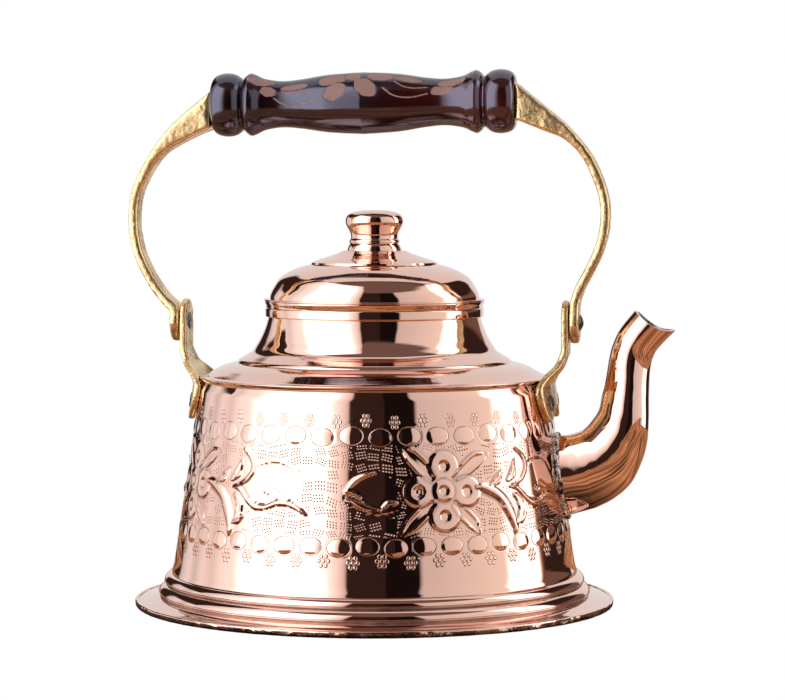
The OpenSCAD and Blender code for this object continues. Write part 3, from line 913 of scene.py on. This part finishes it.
def make_base():
    """The flat base with its rolled rim, planished by hand along the edge."""
    outline = [(0, 0)] + arc(BASE_R - 0.9, 0.9, 0.9, -90, 0, 5)
    outline += arc(BASE_R - 0.6, 1.9, 0.6, 0, 180, 6) + [(BASE_R - 1.2, 1.2), (0, 1.2)]
    bm = turned(outline, 480, closed=False)
    for v in bm.verts:
        r = math.hypot(v.co.x, v.co.y)
        if r > BASE_R - 1.15:
            turn = math.degrees(math.atan2(v.co.y, v.co.x))
            dent = noise.noise((turn / 3.1, v.co.z * 0.9, 3.7)) + 0.8 * noise.noise((turn / 1.1, 0, 9))
            v.co.xy *= 1 - (0.2 + 0.24 * dent) / r
            v.co.z = max(v.co.z + 0.12 * noise.noise((turn / 1.4, 5, 2)) * min(v.co.z, 1.0), 0.0)
    piece(bm, "base_copper", "pot", [POLISHED, EDGE], ["base_plate"],
          lining=lambda c, n: c.xy.length > BASE_R - 0.75 and c.z < 1.75)


def make_foot():
    """The flange and the two beads that carry the wall."""
    gap = 0.05
    flange_in = BASE_R - 1.4
    flange = curve([(flange_in, 2.1), (88.2, 2.2), (86.4, 2.5), (84, 3.05), (81.8, 3.65),
                    (80.3, 4.05)], 4)
    low_bead = curve([(80.2, 4.15), (80.85, 4.5), (81.05, 5.1), (80.85, 5.9), (80.25, 6.9),
                      (79.3, 7.8), (78.4, 8.3), (77.9, 8.4)], 4)
    high_bead = curve([(77.8, 8.6), (78.55, 8.75), (78.95, 9.4), (78.8, 10.1), (78.3, 11),
                       (77.5, 11.8), (76.6, 12.2), (76.2, 12.25)], 4)
    lip = [(76.1, 12.4), (76.15, 12.7), (wall_radius(FOOT_Z) + 0.2, FOOT_Z)]
    inside = [(wall_radius(FOOT_Z) + gap, FOOT_Z), (wall_radius(10.4) + gap, 10.4), (77.9, 6.5),
              (80.2, 3.6), (83, 1.25), (flange_in, 1.25)]
    bm = turned(flange + low_bead + high_bead + lip + inside, 480)
    for v in bm.verts:
        r = math.hypot(v.co.x, v.co.y)
        turn = math.atan2(v.co.y, v.co.x)
        wave = 0.05 * math.sin(7 * turn + 1.0) + 0.04 * math.sin(17 * turn)
        if r > 84:
            v.co.z += wave * (r - 84) / 6
    piece(bm, "foot_copper", "pot", [POLISHED, TIN], ["foot_ring"],
          lining=lambda c, n: n.z < -0.3 and c.z < 10 and c.xy.length < 83)


def make_shoulder():
    """The shoulder with its seam ridge, its step and the neck above it."""
    ledge = WALL_TOP + 0.05
    edge = wall_radius(WALL_TOP)
    rim = curve([(edge - 0.35, ledge), (edge - 0.12, ledge + 0.15), (edge + 0.2, ledge + 0.6),
                 (edge + 0.45, ledge + 1.1), (edge + 0.5, ledge + 1.3), (edge + 0.3, ledge + 1.58),
                 (edge - 0.2, ledge + 1.7)], 4)
    slope = curve([(63.7, 86), (60.7, 87.7), (57.9, 89.2), (54, 90.5), (51.5, 90.9)], 4)
    neck = curve([(51, 91.9), (48.2, 93.6), (45.8, 95.2), (44.2, 97.6), (42.7, 100.2), (41, 104),
                  (NECK_R, 108)], 5)
    outside = slope + neck + [(NECK_R, 111), (NECK_R, MOUTH_Z)]
    inside = [p for p in shifted(outside, SHEET)[::-1] if p[1] > ledge + 0.2]
    bm = turned(rim + outside + [(NECK_R - SHEET, MOUTH_Z)] + inside[1:] + [(61, ledge)], 384)
    piece(bm, "shoulder_copper", "pot", [POLISHED, TIN], ["shoulder"],
          lining=lambda c, n: (n.z < -0.25 and c.xy.length < 63) or (n.xy.dot(c.xy) < 0 and n.z < 0.5
                                                                       and c.z > 95))


def make_band():
    """The rolled band round the mouth."""
    inner = NECK_R + 0.05
    outer = inner + 1.15
    outline = [(inner, BAND_LOW)] + arc(outer - 0.4, BAND_LOW + 0.4, 0.4, -90, 0, 6)
    outline += [(outer - 0.02, MOUTH_Z - 2.9), (outer - 0.1, MOUTH_Z - 2.6),
                (outer - 0.32, MOUTH_Z - 2.4), (outer - 0.28, MOUTH_Z - 2.1),
                (outer - 0.08, MOUTH_Z - 1.2), (LID_R - 0.12, MOUTH_Z - 0.2),
                (LID_R - 0.16, MOUTH_Z - 0.02), (LID_R - 0.4, MOUTH_Z), (inner, MOUTH_Z)]
    piece(turned(outline, 320), "band_copper", "pot", [POLISHED],
          ["mouth_band"])


def make_lid():
    """The domed lid with its brim and the raised crown under the knob."""
    brim_top = MOUTH_Z + 0.8
    dome = curve([(39.3, brim_top), (39.1, 116.4), (37.9, 119), (35.6, 122.3), (31.7, 124.9),
                  (27, 126.8), (23.9, 127.5)], 7)
    crown = curve([(23.6, 128.2), (20.6, 129.4), (17.4, 130.4), (14, 131.6), (12, CROWN_Z)], 5)
    outside = dome + crown
    inside = [tuple(p) for p in shifted(outside, SHEET)[::-1]]
    brim = [(38, MOUTH_Z)] + arc(LID_R - 0.35, MOUTH_Z + 0.35, 0.35, -90, 0, 4)
    brim += arc(LID_R - 0.35, brim_top - 0.35, 0.35, 0, 90, 4)
    stud = 3.05
    outline = brim + outside + [(stud, CROWN_Z), (stud, CROWN_Z - SHEET), (12, CROWN_Z - SHEET)]
    piece(turned(outline + inside[1:-1], 360), "lid_copper", "lid",
          [POLISHED, TIN], ["lid"],
          lining=lambda c, n: n.z < -0.2 and c.z > MOUTH_Z + 0.5 or n.xy.dot(c.xy) < 0 and n.z < 0.3)


def make_knob():
    """The turned knob on its waisted foot."""
    foot = CROWN_Z + 0.05
    body = curve([(10.1, foot + 0.5), (10.1, 133.3), (9.7, 134.4), (9.15, 135.3)], 5)
    body += curve([(9.25, 135.5), (9.45, 136.0), (9.3, 136.6), (8.9, 137.1)], 4)
    body += curve([(8.8, 137.5), (8.9, 138.7), (9.5, 140.2), (10.4, 141.8), (10.85, 143.2),
                   (10.8, 144.4), (10.3, 145.6), (9.2, 146.6), (7.2, 147.25),
                   (4.2, KNOB_TOP - 0.06), (0, KNOB_TOP)], 6)
    outline = [(0, foot - 3), (3, foot - 3), (3, foot), (10.2, foot)] + body
    piece(turned(outline, 192, closed=False), "knob_copper", "lid", [POLISHED],
          ["lid_knob"])


# ---------------------------------------------------------------- spout

SPOUT_LOW = [(83.2, 37), (90, 40.6), (96.4, 46.4), (100.4, 54.5), (102.4, 62), (103, 70.5),
             (103, 79.5), (103.4, 88.5), (104.9, 94.6), (108.2, 98.9), (112.7, 103.4)]
SPOUT_HIGH = [(73.6, 64.4), (78.6, 66.3), (82, 70), (84.4, 74), (85.4, 79), (86.4, 83),
              (87.3, 88), (88, 92.6), (89.2, 97.6), (92, 103.8), (97.6, 110.9)]
SPOUT_HALF = [9.5, 9.4, 9.1, 8.8, 8.6, 8.5, 8.4, 8.3, 8.3, 8.4, 8.2]
SPOUT_DIP = [0, 0, 0, 0, 0, 0, 0, 0, 0.4, 1.1, 2.3]
SPOUT_PINCH = [0, 0, 0, 0, 0, 0, 0, 0.04, 0.1, 0.18, 0.3]
SPOUT_SIDES = 72
SPOUT_STEPS = 6
ROOT_Z = 48.8
ROOT_HALF = (9.5, 14.8)


def root_ring(shrink, lift, count=SPOUT_SIDES):
    """The spout's root: an oval wrapped onto the wall, smaller by shrink all round."""
    a = around(count)
    z = ROOT_Z - (ROOT_HALF[1] - shrink) * np.cos(a)
    y = (ROOT_HALF[0] - shrink) * np.sin(a)
    x = np.sqrt((wall_radius(z) + lift) ** 2 - y * y)
    return np.stack([x, y, z], axis=1)


def spout_rings(sheet, slant):
    """Rings of the spout from the root to the lip, inside the outer skin by the given thicknesses."""
    low = np.array(curve(SPOUT_LOW, SPOUT_STEPS))
    high = np.array(curve(SPOUT_HIGH, SPOUT_STEPS))
    half, dip, pinch = (np.array(curve([(v,) for v in values], SPOUT_STEPS))[:, 0]
                        for values in (SPOUT_HALF, SPOUT_DIP, SPOUT_PINCH))
    a = around(SPOUT_SIDES)
    rings = [root_ring(sheet, 0.05)]
    for i in range(len(low)):
        across = (low[i] - high[i]) / np.linalg.norm(low[i] - high[i])
        under = low[i] - slant * across
        over = high[i] + slant * across
        middle = (under + over) / 2
        reach = (under - over) / 2
        line = middle + reach * np.cos(a)[:, None]
        y = (half[i] - sheet) * np.sin(a) * (1 - pinch[i] * np.cos(a))
        down = dip[i] * np.sin(a) ** 2
        rings.append(np.stack([line[:, 0], y, line[:, 1] - down], axis=1))
    return rings


def make_spout():
    """The swan-neck spout, a tube of sheet with its lip hammered thin."""
    outer = spout_rings(0, 0)
    inner = spout_rings(1.0, 1.25)
    places = np.array(outer + inner[::-1])
    bm = woven(places, True, True)
    middles = [ring.mean(axis=0) for ring in outer]

    def inside(centre, normal):
        nearest = min(middles, key=lambda m: (m[0] - centre.x) ** 2 + (m[2] - centre.z) ** 2)
        return normal.dot((centre - Vector(nearest)).normalized()) < -0.6

    piece(bm, "spout_copper", "pot", [PLANISHED, TIN], ["spout"],
          lining=inside)


def make_solder():
    """The rough bead of solder in the corner between the wall and the spout."""
    count = 150
    a = around(count)
    flare = np.stack([0 * a, np.sin(a) * 1.0, -np.cos(a)], axis=1)
    root = root_ring(0, 0.05, count)
    rings = []
    for turn in np.linspace(0, 2 * math.pi, 12, endpoint=False):
        ring = root + 0.55 * flare
        size = np.array([0.95 + 0.55 * noise.noise((2.6 * math.cos(t), 2.6 * math.sin(t), 1.3))
                         + 0.3 * noise.noise((9 * math.cos(t), 9 * math.sin(t), turn)) for t in a])
        ring = ring + flare * (size * math.cos(turn))[:, None]
        ring[:, 0] += 0.55 + size * 1.1 * math.sin(turn)
        rings.append(ring)
    bm = woven(np.array(rings), True, True)
    piece(bm, "solder_bead", "pot", [SOLDER], ["spout_seam"], sharp=80)


# ---------------------------------------------------------------- lugs, rivets and arms

def dome_rivet(radius, height, shank, length, sunk=0.0):
    """A rivet along +Z: a hammered dome standing on z = 0 with its shank below.

    A sunk head is hollowed in its middle by that share of its height.
    """
    big = (radius ** 2 + height ** 2) / (2 * height)
    half = math.degrees(math.asin(radius / big))
    outline = [(0, -length), (shank, -length), (shank, -0.02), (radius * 0.96, -0.02)]
    for r, z in arc(0, height - big, big, 90 - half, 90, 14):
        outline.append((r, z - sunk * height * float(smooth((0.72 - r / radius) * 3))))
    bm = turned(outline, 40, closed=False)
    for v in bm.verts:
        if v.co.z > 0.02:
            dent = noise.noise(v.co * 0.55 + Vector((radius, height, length)))
            v.co.z *= 1 + 0.16 * dent
            v.co.xy *= 1 + 0.05 * noise.noise(v.co * 0.9)
    return bm


def placed(bm, matrix):
    """The same shape moved to its place."""
    bmesh.ops.transform(bm, matrix=matrix, verts=bm.verts)
    return bm


def on_wall(z, degrees):
    """Stands a shape modelled along +Z on the wall, pointing out of it."""
    lean = math.atan(WALL_LEAN)
    return (Matrix.Rotation(math.radians(degrees), 4, "Z")
            @ Matrix.Translation((wall_radius(z), 0, z))
            @ Matrix.Rotation(math.pi / 2 - lean, 4, "Y"))


def make_lug(side, name):
    """One cast lug with the rivets through its two lobes and the pivot through its eye."""
    bm = cast_copy("lug_" + name, 0.4, 12)
    roughened(bm, 0.12, 0.05, 4.5, 1.4)
    piece(bm, "lug_cast_" + name, "pot", [BRASS], ["lug_" + name], sharp=70)
    turn = 0 if side > 0 else 180
    parts = []
    for lobe in (-10, 10):
        place = on_wall(76.5, turn + lobe)
        out = placed(dome_rivet(3.0, 0.75, 2.0, 4.4, 0.7), place @ Matrix.Translation((0, 0, 2.77)))
        back = placed(dome_rivet(3.0, 0.9, 1.9, 0.5),
                      place @ Matrix.Translation((0, 0, -2.2)) @ Matrix.Rotation(math.pi, 4, "X"))
        parts += [out, back]
    piece(merged(parts), "leaf_rivets_" + name, "pot", [RIVET],
          ["lug_rivets_" + name], sharp=60)
    head = dome_rivet(3.3, 0.35, 2.5, 7.0)
    inward = Matrix.Translation((side * (LUG_OUT - 2.65), 0, PIVOT_Z))
    inward = inward @ Matrix.Rotation(-side * math.pi / 2, 4, "Y")
    tail = dome_rivet(3.0, 1.2, 2.45, 0.6)
    outward = Matrix.Translation((side * (ARM_IN + 3.7), 0, PIVOT_Z))
    outward = outward @ Matrix.Rotation(side * math.pi / 2, 4, "Y")
    pivot = merged([placed(head, inward), placed(tail, outward)])
    piece(pivot, "pivot_rivet_made_" + name, "pot", [RIVET],
          ["pivot_rivet_" + name], sharp=60)


def make_arm(name):
    """One cast arm of the bail, with the grain of its sand mould."""
    bm = cast_copy("arm_" + name, 0.45, 16)
    roughened(bm, 0.1, 0.06, 6.0, 1.6)
    piece(bm, "arm_cast_" + name, "bail", [BRASS], ["arm_" + name], sharp=70)


# ---------------------------------------------------------------- grip

GRIP_LEN = 114.4
GRIP_R = 11.9
GRIP_TILT = math.asin(1.1 / GRIP_LEN)
GRIP_START = Vector((-61.2, 0, 187.2))


def grip_outline():
    """The grip's outline as (radius, distance from its left end)."""
    r = GRIP_R
    half = [tuple(p) for p in curve([(0, r - 3.4), (0.3, r - 2.4), (1.2, r - 1.2), (2.8, r - 0.4),
                                     (5.0, r), (7.2, r - 0.1), (9.2, r - 0.7), (10.5, r - 1.6)], 5)]
    half += [(11.0, r - 1.9), (11.3, r - 2.4), (11.7, r - 2.5), (12.0, r - 2.3), (12.4, r - 1.7)]
    half += [tuple(p) for p in curve([(12.8, r - 1.2), (14.4, r - 0.2), (16.4, r - 0.7),
                                      (20, r - 2.3), (26.5, r - 3.2), (34, r - 2.6),
                                      (44, r - 1.1), (GRIP_LEN / 2, r - 0.3)], 14)]
    other = [(GRIP_LEN - x, y) for x, y in half[::-1] if x < GRIP_LEN / 2 - 0.01]
    return [(y, x) for x, y in half + other]


class Etching:
    """How deep the grip is etched at points given as (t, turn) in millimetres and degrees."""

    def __init__(self, t, turn):
        self.t = t
        self.s = np.radians(turn) * GRIP_R
        self.depth = np.zeros_like(t)

    def petal(self, t, turn, length, width, lean):
        """An oval patch leaning by so many degrees."""
        dt = self.t - t
        ds = self.s - math.radians(turn) * GRIP_R
        c, s = math.cos(math.radians(lean)), math.sin(math.radians(lean))
        q = np.hypot((c * dt + s * ds) / length, (c * ds - s * dt) / width)
        frill = 0.05 * np.sin(6 * np.arctan2(ds, dt) + 1.7 * t)
        patch = smooth((1.1 + frill - q) * 6)
        around_it = smooth((1.22 + frill - q) * 6)
        self.depth = np.where(around_it > 0, np.maximum(self.depth * (1 - around_it), patch),
                              self.depth)

    def line(self, points):
        """A thin curved line."""
        path = np.array([(t, math.radians(turn) * GRIP_R) for t, turn in points])
        path = np.array(curve(path, 8))
        best = np.full(len(self.t), 1e9)
        for a, b in zip(path, path[1:]):
            step = b - a
            along = np.clip(((self.t - a[0]) * step[0] + (self.s - a[1]) * step[1]) / (step @ step),
                            0, 1)
            best = np.minimum(best, np.hypot(self.t - a[0] - along * step[0],
                                             self.s - a[1] - along * step[1]))
        self.depth = np.maximum(self.depth, smooth((0.42 - best) / 0.3))


def grip_etching(t, turn):
    """A six-petalled flower in the middle, leaves and half flowers beside it and garlands below.

    turn is 0 at the front and 90 on top, and the back repeats the front.
    """
    e = Etching(t, np.where(turn > 90, 180 - turn, turn))
    for t_at, turn_at, length, width, lean in (
            (46.4, 52, 5.2, 3.0, 12), (47.6, 23, 4.6, 3.0, 42), (59.0, 31, 4.9, 3.3, -48),
            (64.6, 60, 5.0, 2.7, 2), (57.5, 86, 4.2, 3.0, 60), (54.2, 58, 2.9, 2.3, 0),
            (19.0, 58, 4.9, 2.9, 14), (22.2, 30, 2.9, 2.7, -30), (32.0, 42, 5.3, 1.9, 6),
            (74.6, 56, 5.0, 1.9, -6), (87.4, 30, 4.2, 2.7, 25), (91.0, 52, 5.3, 2.6, 12)):
        e.petal(t_at, turn_at, length, width, lean)
    e.line([(24.6, 13), (27, 1), (30.2, -7), (34.4, -3), (38.9, 6)])
    e.line([(27.0, 32), (29.4, 23), (32.6, 20), (38.0, 25)])
    e.line([(65.6, 29), (69, 15), (73.2, 9), (77.8, 11), (82.3, 19)])
    e.line([(69.8, 46), (73.0, 34), (77, 31), (82, 35)])
    return e.depth


def make_grip():
    """The turned and lacquered grip on its rod."""
    outline = grip_outline()
    bore = 2.55
    outline = [(bore, 0)] + outline + [(bore, GRIP_LEN)]
    dense = []
    for (r0, x0), (r1, x1) in zip(outline, outline[1:]):
        steps = max(1, round(math.hypot(r1 - r0, x1 - x0) / 0.5)) if x0 > 12 and x1 < 102.5 else 1
        for k in range(steps):
            dense.append((r0 + (r1 - r0) * k / steps, x0 + (x1 - x0) * k / steps))
    dense.append(outline[-1])
    bm = turned(dense, 216)
    places = np.array([v.co[:] for v in bm.verts])
    t = places[:, 2]
    radius = np.hypot(places[:, 0], places[:, 1])
    turn = np.degrees(np.arctan2(-places[:, 0], -places[:, 1]))
    depth = np.where(radius > bore + 1, grip_etching(t, turn), 0)
    places[:, :2] *= (1 - 0.1 * depth / radius)[:, None]
    placed(moved_to(bm, places), Matrix.Translation(GRIP_START)
           @ Matrix.Rotation(math.pi / 2 - GRIP_TILT, 4, "Y"))
    grip = piece(bm, "grip_turned", "bail", [WOOD], ["wood_grip"])
    keep_values(grip, "etched", depth)


# ---------------------------------------------------------------- CAD nodes that stay

def dress_nodes():
    """Gives the hidden CAD pieces that stay their finishes."""
    finishes = {
        "rivet_washers_left": SATIN, "rivet_washers_right": SATIN, "lid_skirt": SATIN,
        "knob_washer": SATIN, "grip_rod": STEEL,
    }
    for name, material in finishes.items():
        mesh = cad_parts[name].data
        mesh.materials.clear()
        mesh.materials.append(material)


# ---------------------------------------------------------------- camera, floor and light

CAMERA_AZIMUTH = 8.5
CAMERA_AWAY = 1.069
CAMERA_Z = 0.1534
AIM = Vector((0.0067, 0.0010, 0.0953))


def make_camera():
    """A long lens a little above the lid, turned a few degrees towards the spout."""
    turn = math.radians(CAMERA_AZIMUTH)
    camera = bpy.data.objects.new("camera", bpy.data.cameras.new("camera"))
    camera.location = (CAMERA_AWAY * math.sin(turn), -CAMERA_AWAY * math.cos(turn), CAMERA_Z)
    camera.rotation_euler = (AIM - camera.location).to_track_quat("-Z", "Y").to_euler()
    camera.data.lens = 130.7
    camera.data.sensor_width = 36
    bpy.context.scene.collection.objects.link(camera)
    bpy.context.scene.camera = camera


def make_floor():
    """A table that glows: plain white to the camera and warm wood in reflections, dimmed near the pot
    as a painted shadow.
    """
    bm = bmesh.new()
    bmesh.ops.create_circle(bm, cap_ends=True, segments=96, radius=0.53,
                            matrix=Matrix.Translation((0.12, 0, 0)))
    mesh = bpy.data.meshes.new("table")
    bm.to_mesh(mesh)
    bm.free()
    floor = bpy.data.objects.new("table", mesh)
    floor.location.z = -0.0002
    bpy.context.scene.collection.objects.link(floor)
    material = bpy.data.materials.new("table")
    material.use_nodes = True
    material.node_tree.nodes.clear()
    table = Nodes(material.node_tree)
    grain = table.noise(1.0, source=table.stretched((6, 60, 1), turn=0.5))
    away = table.node("ShaderNodeVectorMath", operation="LENGTH")
    table.join(table.place, away.inputs[0])
    table_glow = table.node("ShaderNodeEmission")
    # Painted shadow: the table's glow is dimmed close to the pot, as if the pot shaded it; only
    # reflections show it.
    table.join(table.ranged(away.outputs["Value"], 0.086, 0.15, 0.05, 0.8), table_glow.inputs["Strength"])
    table.join(table.ramp(grain, [(0.40, (0.13, 0.05, 0.02)), (0.58, (0.85, 0.46, 0.24))]),
               table_glow.inputs["Color"])
    out = table.node("ShaderNodeOutputMaterial")
    table.join(table.white_to_camera(table_glow.outputs[0]), out.inputs[0])
    mesh.materials.append(material)


# Brightness of the studio round the horizon, by the angle from the camera towards the right.
SCREEN = (0.034, 0.018, 0.015)
BLACK = (0.009, 0.006, 0.006)
AMBER = (0.55, 0.34, 0.20)
ROUND = [
    (-180, SCREEN), (-146, SCREEN), (-142, 0.7), (-132, 0.95), (-124, 0.7), (-116, 1.0),
    (-106, 0.85), (-98, 1.15), (-88, 1.3), (-80, 2.3), (-33, 2.4), (-25, 1.3),
    (-17, (0.82, 0.7, 0.66)), (-16.2, SCREEN), (6.2, SCREEN), (7, BLACK), (26.2, BLACK),
    (27, (0.70, 0.66, 0.64)), (50, (0.8, 0.76, 0.72)), (80, (0.98, 0.93, 0.84)), (84, 2.2),
    (108, 2.2), (111, AMBER), (113, SCREEN), (180, SCREEN),
]
# Soft boxes end at these heights in degrees: far left, left and right of the camera.
PANEL_TOPS = (19, 60, 50)
GAP = (0.17, 0.115, 0.10)
ROOM = (0.17, 0.10, 0.075)
# A pale paper sweep hangs behind the pot and comes forward over it; its half-width low and high.
SWEEP = 0.80
SWEEP_WIDE = (0.30, 0.47)


def make_studio():
    """Soft boxes, dark screens and a white ceiling, seen only in the metal and the lacquer."""
    world = bpy.data.worlds.new("studio")
    bpy.context.scene.world = world
    world.use_nodes = True
    world.node_tree.nodes.clear()
    sky = Nodes(world.node_tree, "Generated")
    maths = sky.maths
    mixed = sky.mixed

    def ranged(*values):
        return sky.ranged(*values, interpolation_type="SMOOTHSTEP")

    turn = sky.node("ShaderNodeVectorRotate", rotation_type="Z_AXIS")
    turn.inputs["Angle"].default_value = math.radians(90 - CAMERA_AZIMUTH)
    sky.join(sky.place, turn.inputs["Vector"])
    x, y, z = sky.split(turn.outputs[0])
    angle = maths("ARCTAN2", y, x)
    rise = maths("MULTIPLY", maths("ARCSINE", z), 180 / math.pi)
    position = maths("MULTIPLY_ADD", angle, 1 / (2 * math.pi), 0.5)
    peak = 2.5
    stops = [(a, v if isinstance(v, tuple) else (v,) * 3) for a, v in ROUND]
    ring = sky.ramp(position, [((a + 180) / 360, tuple(c / peak for c in v)) for a, v in stops])
    scaled = sky.node("ShaderNodeVectorMath", operation="SCALE")
    scaled.inputs["Scale"].default_value = peak
    sky.join(ring, scaled.inputs[0])
    left = ranged(angle, -1.98, -1.90, PANEL_TOPS[0], PANEL_TOPS[1])
    top = maths("MINIMUM", left, ranged(angle, -0.35, -0.2, PANEL_TOPS[1], PANEL_TOPS[2]))
    above = ranged(maths("SUBTRACT", rise, top), -2.0, 2.0, 0.0, 1.0)
    gap = mixed(ranged(x, 0.0, 0.2, 0.0, 1.0), SCREEN, GAP)
    low = maths("MULTIPLY", ranged(z, 0.02, 0.05, 0.0, 1.0), ranged(z, 0.2, 0.3, 1.0, 0.0))
    low = maths("MULTIPLY", low, ranged(angle, 1.93, 1.96, 0.0, 1.0))
    beside = mixed(low, scaled.outputs[0], ROOM)
    lit = mixed(above, beside, gap)
    reach = maths("ADD", ranged(z, 0.45, 0.68, *SWEEP_WIDE), ranged(y, -0.05, 0.05, 0.0, 0.2))
    wide = ranged(maths("SUBTRACT", maths("ABSOLUTE", y), reach), -0.03, 0.03, 1.0, 0.0)
    sweep = maths("MULTIPLY", wide, ranged(x, -0.02, 0.05, 1.0, 0.0))
    shown = sky.node("ShaderNodeBackground")
    sky.join(mixed(sweep, lit, (SWEEP,) * 3), shown.inputs["Color"])
    out = sky.node("ShaderNodeOutputWorld")
    sky.join(sky.white_to_camera(shown.outputs[0]), out.inputs["Surface"])
    bpy.context.scene.view_settings.view_transform = "Standard"


make_camera()
make_floor()
make_studio()
make_wall()
make_base()
make_foot()
make_shoulder()
make_band()
make_lid()
make_knob()
make_spout()
make_solder()
make_lug(-1, "left")
make_lug(1, "right")
make_arm("left")
make_arm("right")
make_grip()
dress_nodes()
